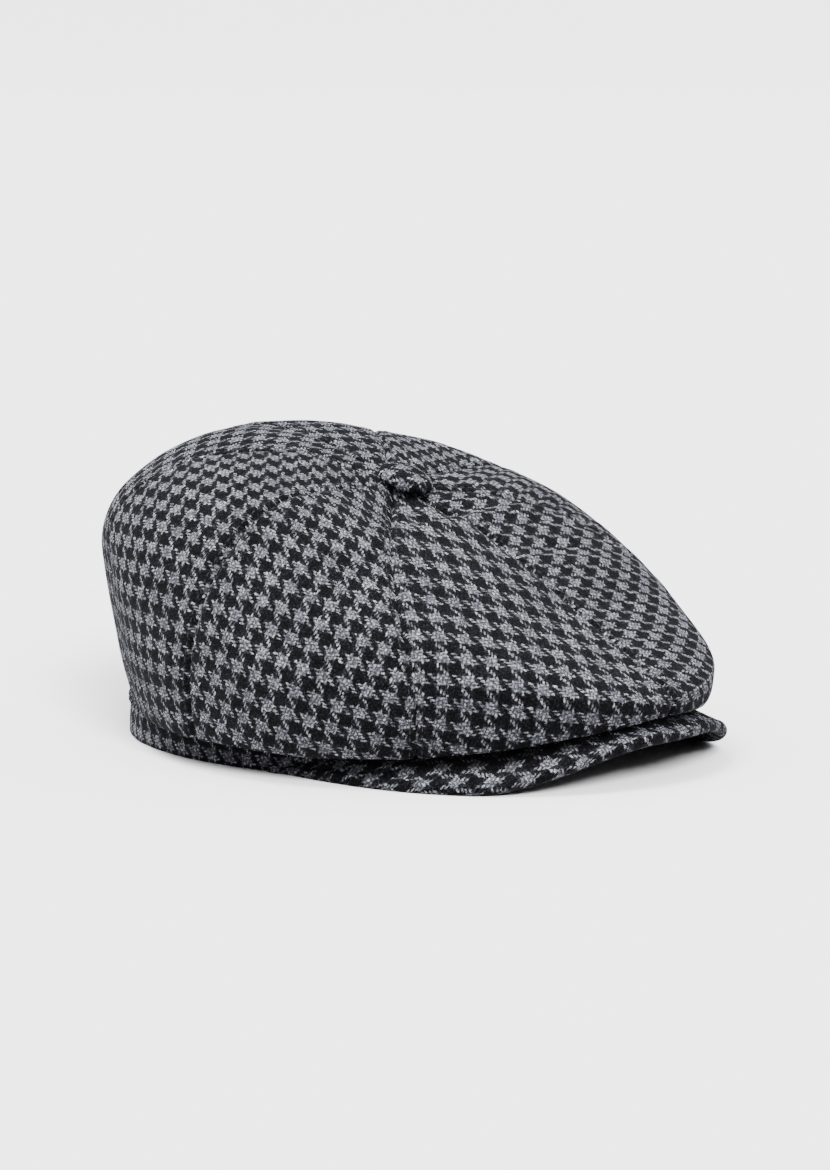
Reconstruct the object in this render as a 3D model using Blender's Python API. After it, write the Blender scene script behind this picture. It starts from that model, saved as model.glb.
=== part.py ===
"""Eight-panel newsboy cap in houndstooth cloth: crown panels, band, peak and covered button.

Metres, +Z up, front (the peak) towards -Y, wearer's right towards -X. The origin is on the
surface the cap rests on, under the middle of the whole cap. The parts are drawn about the
middle of the head opening and then set back from the origin. A turn is a direction in plan:
0 degrees is the front, -90 the wearer's right, +90 the left and 180 the back.
"""

from collections import namedtuple
from math import atan, atan2, cos, degrees, exp, pi, radians, sin, sqrt

import bmesh
import bpy
from mathutils import Matrix, Vector

# Head opening, measured over the band
HEAD_LENGTH = 0.202
HEAD_WIDTH = 0.167
# The head opening's middle behind the middle of the whole cap
HEAD_BACK = 0.0185

# Band
BAND_HEIGHT = 0.0125
BAND_WALL = 0.0025
BAND_FLARE = 0.0010
BAND_FRONT_RISE = 0.025
BAND_RISE_START = 0.30
BAND_SEGMENTS = 96

# Crown cloth
CLOTH = 0.0020
SEAM_GAP = 0.0004
LAP_GAP = 0.0004
LAP_OUTSIDE = 0.0010
LAP_INSIDE = 0.0020
PANEL_PUFF = 0.0014

# Button, and the slope of the crown under it: down to the front, up to the back
BUTTON_AHEAD = 0.011
BUTTON_FORWARD = 0.0045
BUTTON_SEAT = 0.1005
BUTTON_SLOPE = 0.43
BUTTON_RADIUS = 0.0110
BUTTON_HEIGHT = 0.0060
BUTTON_CLEAR = 0.0014
PANEL_START = 0.0040

# Peak
PEAK_HALF_TURN = 80.0
PEAK_END_TURN = 77.0
PEAK_END_WIDTH = 0.0012
PEAK_THIN_START = 50.0
PEAK_END_SHARE = 0.5
PEAK_DEPTH = 0.048
PEAK_TAPER = 1.54
PEAK_WALL = 0.0050
PEAK_GAP = 0.0004
PEAK_BOW = 0.0015
PEAK_LIFT = 0.0152
PEAK_LIFT_FLAT = 5.0
PEAK_LIFT_END = 35.0

# Crown seams, one row each: from the button out to the crest, down to the fullest point,
# under to the fold, then in to the band. "out" is measured from the button's axis, "up" from
# the surface; slope is the crest's rise outwards, inset how far the fold lies inside the
# fullest point. Shoulder and side say how far the curve between crest and fullest point
# keeps on outwards and stands upright, tuck how upright it stays below; drift is how many
# degrees the seam swings round on its way down.
Seam = namedtuple("Seam", "turn crest_out crest_up slope full_out full_up inset fold_up shoulder side tuck drift")
SEAMS = (
    Seam(0, 0.031, 0.0895, -0.12, 0.135, 0.031, 0.0030, 0.0240, 0.09, 0.05, 0.50, -1.5),
    Seam(47, 0.038, 0.0948, -0.18, 0.112, 0.039, 0.0070, 0.0150, 0.54, 0.38, 0.50, 0.0),
    Seam(91, 0.050, 0.1016, 0.01, 0.105, 0.042, 0.0050, 0.0130, 0.68, 0.59, 0.40, 6.0),
    Seam(136, 0.046, 0.1130, 0.06, 0.1090, 0.079, 0.0080, 0.0145, 0.655, 0.68, 0.20, 0.0),
    Seam(180, 0.064, 0.1178, 0.02, 0.1230, 0.059, 0.0120, 0.0150, 0.54, 0.54, 0.20, 0.0),
    Seam(224, 0.045, 0.1124, 0.05, 0.1090, 0.077, 0.0105, 0.0145, 0.60, 0.59, 0.16, 0.0),
    Seam(269, 0.050, 0.1004, 0.02, 0.105, 0.038, 0.0040, 0.0130, 0.665, 0.55, 0.40, -6.0),
    Seam(308, 0.036, 0.0890, -0.10, 0.112, 0.037, 0.0050, 0.0125, 0.30, 0.36, 0.50, 5.5),
)

# Where along a seam it begins to drift, and over how much of its length
DRIFT_START = 0.30
DRIFT_SPAN = 0.40

# Soft dips and rises of the crown, one row each: where the middle lies, how far it reaches
# round and outwards, and how high it stands (a dip is below zero).
Fold = namedtuple("Fold", "turn out reach_turn reach_out height")
FOLDS = (
    Fold(-45, 0.024, 26, 0.011, -0.0022),
    Fold(-42, 0.050, 30, 0.014, 0.0016),
    Fold(22, 0.062, 12, 0.026, -0.0026),
    Fold(14, 0.096, 16, 0.014, -0.0018),
)

# The eight panels, from the front round by the wearer's left
PANEL_NAMES = (
    "crown_panel_front_left",
    "crown_panel_side_left",
    "crown_panel_rear_left",
    "crown_panel_back_left",
    "crown_panel_back_right",
    "crown_panel_rear_right",
    "crown_panel_side_right",
    "crown_panel_front_right",
)
PANEL_COLUMNS = 8
# Stretches of a panel's length and the faces along each: button to crest, crest to fullest
# point, fullest point to fold, fold to band, and flat on the band
STRETCH_ENDS = (0.0, 0.25, 0.65, 0.85, 0.97, 1.0)
STRETCH_FACES = (3, 7, 5, 4, 1)

PEAK_COLUMNS = 34
PEAK_ROWS = 4
PEAK_RIM_FACES = 4

BUTTON_SIDES = 24


def clamp(value, low, high):
    return max(low, min(high, value))


def smooth_step(value):
    x = clamp(value, 0.0, 1.0)
    return x * x * (3.0 - 2.0 * x)


def bezier(a, b, c, d, u):
    v = 1.0 - u
    return v * v * v * a + 3.0 * v * v * u * b + 3.0 * v * u * u * c + u * u * u * d


def hermite(a, slope_a, b, slope_b, span, u):
    """Cubic from a to b over a span, with a slope at each end."""
    v = 1.0 - u
    return (
        (1.0 + 2.0 * u) * v * v * a
        + u * v * v * span * slope_a
        + u * u * (3.0 - 2.0 * u) * b
        - u * u * v * span * slope_b
    )


def seam_value(turn, column):
    """A column of the seam table at any turn: a smooth closed curve through the eight rows."""
    count = len(SEAMS)
    turn = turn % 360.0
    here = max(i for i in range(count) if SEAMS[i].turn <= turn)

    def row(index):
        lap, place = divmod(index, count)
        return SEAMS[place].turn + 360.0 * lap, getattr(SEAMS[place], column)

    before, start, end, after = (row(here + k) for k in (-1, 0, 1, 2))
    slope_start = (end[1] - before[1]) / (end[0] - before[0])
    slope_end = (after[1] - start[1]) / (after[0] - start[0])
    span = end[0] - start[0]
    return hermite(start[1], slope_start, end[1], slope_end, span, (turn - start[0]) / span)


def head_point(turn, grow=0.0):
    """Plan point on the head opening's oval, grown outwards, in a direction from its middle."""
    a = HEAD_LENGTH / 2.0 + grow
    b = HEAD_WIDTH / 2.0 + grow
    s, c = sin(radians(turn)), cos(radians(turn))
    reach = 1.0 / sqrt((s / b) ** 2 + (c / a) ** 2)
    return Vector((reach * s, -reach * c))


def head_normal(turn):
    """Outward direction in plan, square to the head oval at a turn."""
    point = head_point(turn)
    normal = Vector((point.x / (HEAD_WIDTH / 2.0) ** 2, point.y / (HEAD_LENGTH / 2.0) ** 2))
    return normal.normalized()


def band_bottom(turn):
    """Height of the band's lower edge: flat at the back and sides, raised over the peak."""
    share = (cos(radians(turn)) - BAND_RISE_START) / (1.0 - BAND_RISE_START)
    return BAND_FRONT_RISE * clamp(share, 0.0, 1.0) ** 1.5


def band_from_button(turn):
    """Reach of the band's outer face from the button's axis, and the band's top height there."""
    a, b = HEAD_LENGTH / 2.0, HEAD_WIDTH / 2.0
    s, c = sin(radians(turn)), cos(radians(turn))
    square = (s / b) ** 2 + (c / a) ** 2
    linear = 2.0 * BUTTON_AHEAD * c / a ** 2
    rest = (BUTTON_AHEAD / a) ** 2 - 1.0
    reach = (-linear + sqrt(linear * linear - 4.0 * square * rest)) / (2.0 * square)
    head_turn = degrees(atan2(reach * s, BUTTON_AHEAD + reach * c))
    return reach, band_bottom(head_turn) + BAND_HEIGHT


def swung_turn(turn, t):
    """Direction in plan of the point at t on the line that leaves the button at a turn."""
    return turn + seam_value(turn, "drift") * smooth_step((t - DRIFT_START) / DRIFT_SPAN)


def crown_profile(turn, t, depth):
    """Distance out and height of the crown at t from 0 (button) to 1 (band), a depth into it."""
    crest_out, slope, shoulder, side, tuck = (
        seam_value(turn, column) for column in ("crest_out", "slope", "shoulder", "side", "tuck")
    )
    crest_up = seam_value(turn, "crest_up") - depth
    full_out = seam_value(turn, "full_out") - depth
    full_up = seam_value(turn, "full_up")
    fold_out = full_out + depth - seam_value(turn, "inset")
    fold_up = seam_value(turn, "fold_up") + depth
    ends = STRETCH_ENDS
    if t <= ends[1]:
        u = t / ends[1]
        fall = -BUTTON_SLOPE * cos(radians(turn))
        top = BUTTON_SEAT - depth + fall * PANEL_START
        span = crest_out - PANEL_START
        return PANEL_START + span * u, hermite(top, fall, crest_up, slope, span, u)
    if t <= ends[2]:
        u = (t - ends[1]) / (ends[2] - ends[1])
        handle = shoulder * (full_out - crest_out)
        drop = side * (crest_up - full_up)
        return (
            bezier(crest_out, crest_out + handle, full_out, full_out, u),
            bezier(crest_up, crest_up + slope * handle, full_up + drop, full_up, u),
        )
    if t <= ends[3]:
        u = (t - ends[2]) / (ends[3] - ends[2])
        return (
            bezier(full_out, full_out, fold_out + tuck * (full_out - fold_out), fold_out, u),
            bezier(full_up, full_up - tuck * (full_up - fold_up), fold_up, fold_up, u),
        )
    band_out, band_up = band_from_button(swung_turn(turn, t))
    lap_out = band_out + LAP_OUTSIDE
    end_up = band_up + LAP_GAP + depth
    if t <= ends[4]:
        u = (t - ends[3]) / (ends[4] - ends[3])
        handle = 0.3 * (fold_out - lap_out)
        return (
            bezier(fold_out, fold_out - handle, lap_out + handle, lap_out, u),
            bezier(fold_up, fold_up, end_up, end_up, u),
        )
    u = (t - ends[4]) / (ends[5] - ends[4])
    return lap_out + (band_out - LAP_INSIDE - lap_out) * u, end_up


def crown_relief(turn, out, t, across):
    """How far the cloth stands off its plain form: each panel's puff and the soft folds."""
    along = smooth_step(t / 0.2) * smooth_step((1.0 - t) / 0.3)
    height = PANEL_PUFF * sin(pi * across) * along
    if t < STRETCH_ENDS[2]:
        for fold in FOLDS:
            round_way = ((turn - fold.turn + 180.0) % 360.0 - 180.0) / fold.reach_turn
            out_way = (out - fold.out) / fold.reach_out
            height += fold.height * exp(-round_way * round_way - out_way * out_way)
    return height


def crown_point(turn, t, depth, across):
    """A point of the crown; across is its place in the panel, 0 and 1 at the two seams."""
    out, up = crown_profile(turn, t, depth)
    step = 0.004
    ahead = crown_profile(turn, min(t + step, 1.0), 0.0)
    behind = crown_profile(turn, max(t - step, 0.0), 0.0)
    tangent = Vector((ahead[0] - behind[0], ahead[1] - behind[1])).normalized()
    relief = crown_relief(turn, out, t, across)
    out -= tangent.y * relief
    up += tangent.x * relief
    place = radians(swung_turn(turn, t))
    return Vector((out * sin(place), -BUTTON_AHEAD - out * cos(place), up))


def panel_lengths():
    """The values of t at which a panel's rows of points lie."""
    rows = [0.0]
    for start, end, faces in zip(STRETCH_ENDS, STRETCH_ENDS[1:], STRETCH_FACES):
        rows += [start + (end - start) * (i + 1) / faces for i in range(faces)]
    return rows


def peak_half(turn):
    """Half the peak's thickness: full at the front, thinner towards its ends."""
    thin = smooth_step((abs(turn) - PEAK_THIN_START) / (PEAK_END_TURN - PEAK_THIN_START))
    return PEAK_WALL / 2.0 * (1.0 - (1.0 - PEAK_END_SHARE) * thin)


def peak_outer(turn):
    """Plan point on the peak's outer edge, and the height of its lower face there."""
    depth = PEAK_DEPTH * cos(pi / 2.0 * turn / PEAK_HALF_TURN) ** PEAK_TAPER
    edge = head_point(turn) + head_normal(turn) * max(depth - peak_half(turn), PEAK_END_WIDTH)
    edge_turn = abs(degrees(atan2(edge.x, -edge.y)))
    fall = smooth_step((edge_turn - PEAK_LIFT_FLAT) / (PEAK_LIFT_END - PEAK_LIFT_FLAT))
    return edge, PEAK_LIFT * (1.0 - fall)


def peak_middle(turn, w):
    """Point of the peak's middle sheet, w from 0 at the band to 1 at the outer edge."""
    inner = head_point(turn, PEAK_GAP)
    outer, outer_up = peak_outer(turn)
    flat = inner.lerp(outer, w)
    bow = PEAK_BOW * sin(pi * w) * cos(pi / 2.0 * turn / PEAK_HALF_TURN)
    up = band_bottom(turn) * (1.0 - w) + outer_up * w + bow + peak_half(turn)
    return Vector((flat.x, flat.y, up))


def make_material(name, colour, roughness):
    material = bpy.data.materials.new(name)
    material.use_nodes = True
    shader = material.node_tree.nodes["Principled BSDF"]
    shader.inputs["Base Color"].default_value = (*colour, 1.0)
    shader.inputs["Roughness"].default_value = roughness
    shader.inputs["Metallic"].default_value = 0.0
    return material


def add_object(name, mesh_builder, material):
    """A smooth-shaded object from a bmesh, with its faces turned outwards."""
    bmesh.ops.recalc_face_normals(mesh_builder, faces=mesh_builder.faces)
    bmesh.ops.translate(mesh_builder, verts=mesh_builder.verts, vec=(0.0, HEAD_BACK, 0.0))
    mesh = bpy.data.meshes.new(name)
    mesh_builder.to_mesh(mesh)
    mesh_builder.free()
    mesh.materials.append(material)
    mesh.shade_smooth()
    mesh.set_sharp_from_angle(angle=radians(40.0))
    item = bpy.data.objects.new(name, mesh)
    bpy.context.scene.collection.objects.link(item)
    return item


def bridge(mesh_builder, loops, closed):
    """Faces between neighbouring loops of points, and from the last to the first if closed."""
    pairs = list(zip(loops, loops[1:]))
    if closed:
        pairs.append((loops[-1], loops[0]))
    for one, other in pairs:
        for i in range(len(one)):
            j = (i + 1) % len(one)
            mesh_builder.faces.new((one[i], one[j], other[j], other[i]))


def make_panel(index, material):
    """One cloth panel of the crown: a closed shell between its outer and inner faces."""
    start = SEAMS[index].turn
    end = SEAMS[(index + 1) % len(SEAMS)].turn + (360.0 if index == len(SEAMS) - 1 else 0.0)
    work = bmesh.new()
    rows = panel_lengths()
    loops = []
    for column in range(PANEL_COLUMNS + 1):
        across = column / PANEL_COLUMNS
        faces = []
        for depth in (0.0, CLOTH):
            line = []
            for t in rows:
                plain = start + (end - start) * across
                out = crown_profile(plain, t, depth)[0]
                margin = degrees(SEAM_GAP / 2.0 / out)
                turn = start + margin + (end - start - 2.0 * margin) * across
                line.append(work.verts.new(crown_point(turn, t, depth, across)))
            faces.append(line)
        loops.append(faces[0] + faces[1][::-1])
    bridge(work, loops, closed=False)
    half = len(rows)
    for loop in (loops[0], loops[-1]):
        for i in range(half - 1):
            work.faces.new((loop[i], loop[i + 1], loop[2 * half - 2 - i], loop[2 * half - 1 - i]))
    return add_object(PANEL_NAMES[index], work, material)


def make_band(material):
    """The band: one closed ring of cloth, flat underneath, with a soft flare at the back."""
    work = bmesh.new()
    loops = []
    for i in range(BAND_SEGMENTS):
        turn = 360.0 * i / BAND_SEGMENTS
        low = band_bottom(turn)
        flare = BAND_FLARE * clamp((0.3 - cos(radians(turn))) / 1.3, 0.0, 1.0)
        section = (
            (flare, 0.0),
            (flare * 0.5, BAND_HEIGHT * 0.5),
            (0.0, BAND_HEIGHT),
            (-BAND_WALL, BAND_HEIGHT),
            (-BAND_WALL, 0.0),
        )
        loop = []
        for grow, up in section:
            flat = head_point(turn, grow)
            loop.append(work.verts.new((flat.x, flat.y, low + up)))
        loops.append(loop)
    bridge(work, loops, closed=True)
    return add_object("band", work, material)


def make_peak(material):
    """The peak: a padded crescent with a round outer edge, arched from side to side."""
    work = bmesh.new()
    loops = []
    for i in range(PEAK_COLUMNS + 1):
        turn = PEAK_END_TURN * (2.0 * i / PEAK_COLUMNS - 1.0)
        half = peak_half(turn)
        middle = [peak_middle(turn, k / PEAK_ROWS) for k in range(PEAK_ROWS + 1)]
        outward = middle[-1] - middle[0]
        outward.z = 0.0
        outward.normalize()
        lift = Vector((0.0, 0.0, 1.0))
        section = [point + lift * half for point in middle]
        for k in range(1, PEAK_RIM_FACES):
            angle = pi / 2.0 - pi * k / PEAK_RIM_FACES
            section.append(middle[-1] + outward * half * cos(angle) + lift * half * sin(angle))
        section += [point - lift * half for point in reversed(middle)]
        loops.append([work.verts.new(point) for point in section])
    bridge(work, loops, closed=False)
    work.faces.new(loops[0])
    work.faces.new(loops[-1])
    return add_object("peak", work, material)


def make_button(material):
    """The covered button: a low dome, tilted with the crown under it."""
    work = bmesh.new()
    profile = (
        (0.80, 0.00),
        (0.97, 0.16),
        (1.00, 0.36),
        (0.93, 0.62),
        (0.72, 0.84),
        (0.40, 0.97),
    )
    loops = []
    for reach, up in profile:
        loop = []
        for i in range(BUTTON_SIDES):
            angle = 2.0 * pi * i / BUTTON_SIDES
            flat = reach * BUTTON_RADIUS
            loop.append(work.verts.new((flat * cos(angle), flat * sin(angle), up * BUTTON_HEIGHT)))
        loops.append(loop)
    bridge(work, loops, closed=False)
    work.faces.new(loops[0])
    crown = work.verts.new((0.0, 0.0, BUTTON_HEIGHT))
    for i in range(BUTTON_SIDES):
        work.faces.new((loops[-1][i], loops[-1][(i + 1) % BUTTON_SIDES], crown))
    tilt = Matrix.Rotation(atan(BUTTON_SLOPE), 4, "X")
    seat = Vector((0.0, -BUTTON_AHEAD - BUTTON_FORWARD, BUTTON_SEAT - BUTTON_SLOPE * BUTTON_FORWARD))
    seat += tilt @ Vector((0.0, 0.0, BUTTON_CLEAR))
    bmesh.ops.transform(work, matrix=Matrix.Translation(seat) @ tilt, verts=work.verts)
    return add_object("button", work, material)


def main():
    for item in list(bpy.data.objects):
        bpy.data.objects.remove(item, do_unlink=True)
    crown_cloth = make_material("crown_houndstooth", (0.13, 0.13, 0.15), 0.92)
    band_cloth = make_material("band_houndstooth", (0.11, 0.11, 0.12), 0.92)
    peak_cloth = make_material("peak_houndstooth", (0.12, 0.12, 0.13), 0.92)
    button_cloth = make_material("button_houndstooth", (0.12, 0.12, 0.14), 0.92)
    for index in range(len(SEAMS)):
        make_panel(index, crown_cloth)
    make_band(band_cloth)
    make_peak(peak_cloth)
    make_button(button_cloth)


main()
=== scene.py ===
from collections import namedtuple
from math import atan, atan2, cos, pi, radians, sin

import bpy
import numpy as np
from mathutils import Matrix, Vector


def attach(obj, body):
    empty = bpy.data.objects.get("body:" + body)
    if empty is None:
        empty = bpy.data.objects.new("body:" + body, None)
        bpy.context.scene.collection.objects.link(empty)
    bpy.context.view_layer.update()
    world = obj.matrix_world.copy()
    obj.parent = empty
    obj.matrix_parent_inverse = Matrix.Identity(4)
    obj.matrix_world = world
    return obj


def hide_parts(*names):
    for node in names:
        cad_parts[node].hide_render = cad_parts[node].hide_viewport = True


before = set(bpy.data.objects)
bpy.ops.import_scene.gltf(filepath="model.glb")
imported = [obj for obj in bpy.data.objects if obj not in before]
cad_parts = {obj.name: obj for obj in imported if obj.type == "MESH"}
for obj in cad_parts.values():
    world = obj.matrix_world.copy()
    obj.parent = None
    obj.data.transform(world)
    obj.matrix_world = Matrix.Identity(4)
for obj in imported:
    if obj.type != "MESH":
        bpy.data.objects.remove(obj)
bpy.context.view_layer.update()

# Sizes of the cap, in metres and degrees, as the solids have them
HEAD_LENGTH = 0.202
HEAD_WIDTH = 0.167
HEAD_BACK = 0.0185
BAND_HEIGHT = 0.0125
BAND_WALL = 0.0025
BAND_FLARE = 0.0010
BAND_FRONT_RISE = 0.025
BAND_RISE_START = 0.30
BAND_RISE_POWER = 1.5
CLOTH = 0.0020
LAP_GAP = 0.0004
LAP_OUTSIDE = 0.0010
LAP_INSIDE = 0.0020
PANEL_PUFF = 0.0014
BUTTON_AHEAD = 0.011
BUTTON_FORWARD = 0.0045
BUTTON_SEAT = 0.1005
BUTTON_SLOPE = 0.43
BUTTON_RADIUS = 0.0110
BUTTON_HEIGHT = 0.0060
BUTTON_CLEAR = 0.0014
PANEL_START = 0.0040
PEAK_HALF_TURN = 80.0
PEAK_END_TURN = 77.0
PEAK_END_WIDTH = 0.0012
PEAK_THIN_START = 50.0
PEAK_END_SHARE = 0.5
PEAK_DEPTH = 0.048
PEAK_TAPER = 1.54
PEAK_WALL = 0.0050
PEAK_GAP = 0.0004
PEAK_BOW = 0.0015
PEAK_LIFT = 0.0152
PEAK_LIFT_FLAT = 5.0
PEAK_LIFT_END = 35.0
DRIFT_START = 0.30
DRIFT_SPAN = 0.40
STRETCH_ENDS = (0.0, 0.25, 0.65, 0.85, 0.97, 1.0)
UNDER_EASE = 0.3

Seam = namedtuple(
    "Seam",
    "turn crest_out crest_up slope full_out full_up inset fold_up shoulder side tuck drift",
)
SEAMS = (
    Seam(0, 0.031, 0.0895, -0.12, 0.135, 0.031, 0.0030, 0.0240, 0.09, 0.05, 0.50, -1.5),
    Seam(47, 0.038, 0.0948, -0.18, 0.112, 0.039, 0.0070, 0.0150, 0.54, 0.38, 0.50, 0.0),
    Seam(91, 0.050, 0.1016, 0.01, 0.105, 0.042, 0.0050, 0.0130, 0.68, 0.59, 0.40, 6.0),
    Seam(136, 0.046, 0.1130, 0.06, 0.1090, 0.079, 0.0080, 0.0145, 0.655, 0.68, 0.20, 0.0),
    Seam(180, 0.064, 0.1178, 0.02, 0.1230, 0.059, 0.0120, 0.0150, 0.54, 0.54, 0.20, 0.0),
    Seam(224, 0.045, 0.1124, 0.05, 0.1090, 0.077, 0.0105, 0.0145, 0.60, 0.59, 0.16, 0.0),
    Seam(269, 0.050, 0.1004, 0.02, 0.105, 0.038, 0.0040, 0.0130, 0.665, 0.55, 0.40, -6.0),
    Seam(308, 0.036, 0.0890, -0.10, 0.112, 0.037, 0.0050, 0.0125, 0.30, 0.36, 0.50, 5.5),
)
Fold = namedtuple("Fold", "turn out reach_turn reach_out height")
FOLDS = (
    Fold(-45, 0.024, 26, 0.011, -0.0022),
    Fold(-42, 0.050, 30, 0.014, 0.0016),
    Fold(22, 0.062, 12, 0.026, -0.0026),
    Fold(14, 0.096, 16, 0.014, -0.0018),
)

# Finer folds, metres and degrees: each follows a straight line in plan that lies so far out from
# the button's axis towards a turn. Its middle lies so far along that line to the left, and it
# fades over its reach along the line and over its width across it.
FineFold = namedtuple("FineFold", "turn out along reach width height")
FINE_FOLDS = (
    FineFold(-7.5, 0.0328, 0.0000, 0.060, 0.0052, 0.0032),
    FineFold(-15.0, 0.0565, 0.0370, 0.024, 0.0050, 0.0028),
)

# How the cloth of each panel was cut. A turn is the direction in which the threads of one kind
# are counted on the flat panel, in degrees from straight across towards the band. A repeat is
# eight threads, in metres. A bow is how far the count runs ahead 60 mm from the panel's widest
# row, in repeats, and a start is the count at that row's middle, in threads.
Panel = namedtuple(
    "Panel",
    "node across_turn across_repeat across_bow across_start "
    "along_turn along_repeat along_bow along_start",
)
PANELS = (
    Panel("crown_panel_front_left", -9.0, 0.0085, -0.30, 4.6, 76.5, 0.0087, 0.0, 2.2),
    Panel("crown_panel_side_left", -13.0, 0.0083, -0.80, 5.0, 79.0, 0.0084, 0.15, 3.3),
    Panel("crown_panel_rear_left", 7.0, 0.0088, -0.10, -0.7, 100.0, 0.0087, -0.25, -1.2),
    Panel("crown_panel_back_left", 4.0, 0.0085, -0.20, 2.7, 95.5, 0.0089, 0.0, 0.1),
    Panel("crown_panel_back_right", -3.0, 0.0085, 0.20, 1.3, 84.5, 0.0089, 0.0, 0.1),
    Panel("crown_panel_rear_right", -7.0, 0.0088, 0.10, 4.7, 80.0, 0.0087, -0.25, -1.2),
    Panel("crown_panel_side_right", 193.5, 0.0083, -0.80, 4.9, 281.0, 0.0084, -0.15, 0.8),
    Panel("crown_panel_front_right", 15.0, 0.0088, 0.15, -2.0, 107.5, 0.0088, 0.60, -1.9),
)
BOW_REACH = 0.060

# Weave elsewhere: a thread's width, and how many threads of one shade lie side by side
THREAD = 0.00108
SHADE_RUN = 4

# The peak's cloth: its turn on the board, a thread's width once drawn over it, and its start
PEAK_CLOTH_TURN = 14.5
PEAK_THREAD = 0.00115
PEAK_CLOTH_START = (2.63, 4.92)

# Painted shade on the peak where the crown overhangs it: the light left in the colour at its inner
# part, and how far in from the peak's edge the painted shade begins and is full
PEAK_SHADE = 0.16
PEAK_SHADE_START = 0.0028
PEAK_SHADE_FULL = 0.0078

# Seam relief: the groove, the bank beside it, and the dip that the stitches pull in the bank
SEAM_DEPTH = 0.0013
SEAM_REACH = 0.0008
SEAM_BANK = 0.0004
BANK_OFF = 0.0042
BANK_REACH = 0.0022
SEWN_DIP = 0.35 * SEAM_BANK
SEWN_REACH = 0.0006

# Stitches: their size and spacing, the part of the way down that is sewn, and the rings that
# each one is made of, by place along it, girth and height over the cloth in stitch radii. They
# face away from a point inside the crown at this height.
STITCH_OFF = 0.0021
STITCH_LENGTH = 0.0022
STITCH_PITCH = 0.0030
STITCH_RADIUS = 0.00021
STITCH_SPAN = (0.07, 0.86)
STITCH_SAMPLES = 900
STITCH_SIDES = 5
STITCH_RINGS = ((0.0, 0.4, -1.0), (0.2, 0.9, 0.4), (0.5, 1.0, 0.9), (0.8, 0.9, 0.4), (1.0, 0.4, -1.0))
CROWN_INSIDE_UP = 0.03

# Where relief fades out, as shares of the way down from the button to the band: the puff between
# the seams, the seams themselves and the cloth's unevenness
PUFF_FADES = (0.2, 0.3)
SEAM_START = 0.02
SEAM_START_FADE = 0.05
SEAM_END = 0.99
SEAM_END_FADE = 0.04
WAVE_FADES = (0.1, 0.12)
WAVE_HEIGHT = 0.00022
SLOPE_STEP = 0.004

# Grids: the rows down a panel, as from, to and how many, with the last row at the band added, and
# the columns across it. The weave is counted on a coarser grid, whose widest row and two rows of
# the line down its middle are named by number.
PANEL_ROWS = ((0.0, 0.25, 26), (0.25, 0.65, 56), (0.65, 0.85, 34), (0.85, 0.97, 20), (0.97, 1.0, 3))
PANEL_COLUMNS = 45
SEAM_CROWDING = 1.9
WEAVE_ROWS = ((0.0, 0.25, 12), (0.25, 0.65, 26), (0.65, 0.85, 14), (0.85, 1.0, 8))
WEAVE_COLUMNS = 13
WIDEST_ROW = 38
LINE_ROWS = (8, 44)
FLATTEN_ROUNDS = 60
LEAST_WEIGHT = 0.01

# The band's grid and the roundness, swell and wavering of its wall, whose top edge is eased by so
# much inwards and down
BAND_SIDES = 360
BAND_EDGE = 0.0011
BAND_EDGE_STEPS = 6
BAND_SWELL = 0.00025
BAND_WALL_STEPS = 12
BAND_TOP_EASE = (0.0002, 0.0001)
BAND_INNER_ROWS = 10
BAND_WAVER = 0.00018
BAND_CLOTH_START = 6.0

# The peak's grid: columns from end to end, steps from the band to the edge, and round the edge
PEAK_COLUMNS = 201
PEAK_STEPS = 26
PEAK_EDGE_STEPS = 14

# The button's section, as shares of its radius and height, and the gathers under its rim
BUTTON_SECTION = (
    (0.70, -0.05), (0.86, 0.02), (0.96, 0.12), (1.00, 0.28), (0.985, 0.44), (0.93, 0.60),
    (0.84, 0.74), (0.72, 0.85), (0.57, 0.93), (0.40, 0.98), (0.22, 1.0), (0.08, 1.0),
)
BUTTON_SIDES = 96
BUTTON_RIM = 0.5
BUTTON_GATHERS = 17.0
BUTTON_GATHER = 0.012
GATHER_FADE = 0.4
BUTTON_TURNED_IN = 0.45
BUTTON_CLOTH_START = (3.0, 4.0)

# The cloth's material. In its twill the warp lies on top in the first two of every four steps.
# Threads wander and fray by so many threads' widths, on noises of these scales. A thread's half
# width is its least, more where it swells, and less where a light and a dark thread cross. Its
# tone is made up of its height, its fibres, a tone of its own, specks and slow clouds; the height
# part is painted shade, lighter on the thread's crown and darker down its sides.
TWILL_STEPS = 4.0
LAST_WARP_STEP = 1.5
WANDER = 1.1
WANDER_SCALES = (430.0, 470.0)
FUZZ = 1.9
FUZZ_SCALES = (1700.0, 1850.0)
HAIR_ACROSS = 3.2
HAIR_ALONG = 0.9
HAIR_SLANTS = (0.45, -0.35)
FRAY = 0.36
HALF_LEAST = 0.24
HALF_SWELL = 0.22
HALF_CROSSED = 0.07
HALF_FLOOR = 0.05
HEIGHT_LEAST = 0.40
HEIGHT_SWELL = 0.60
EDGE_SHARPNESS = 2.5
PAINTED_SHADE_HEIGHT = 0.62
TONE_FIBRE = 2.8
TONE_THREAD = 0.35
TONE_SPECK = 1.6
TONE_CLOUD = 0.3
TONE_POWER = 2.6
SPECK_SCALE = 3300.0
CLOUD_SCALE = 70.0

# Stray hairs: thin lines of a noise, broken up by the specks, few on dark cloth and more on light.
# The relief is that of the threads with their fibres added.
CURL_SCALE = 620.0
HAIR_THINNESS = 42.0
HAIR_BREAK = 0.42
HAIR_BREAK_GAIN = 4.0
HAIRS_ON_DARK = 0.06
HAIRS_ON_LIGHT = 0.30
BUMP_FIBRE = 0.8
BUMP_STRENGTH = 0.7
BUMP_DISTANCE = 0.0005

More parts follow.
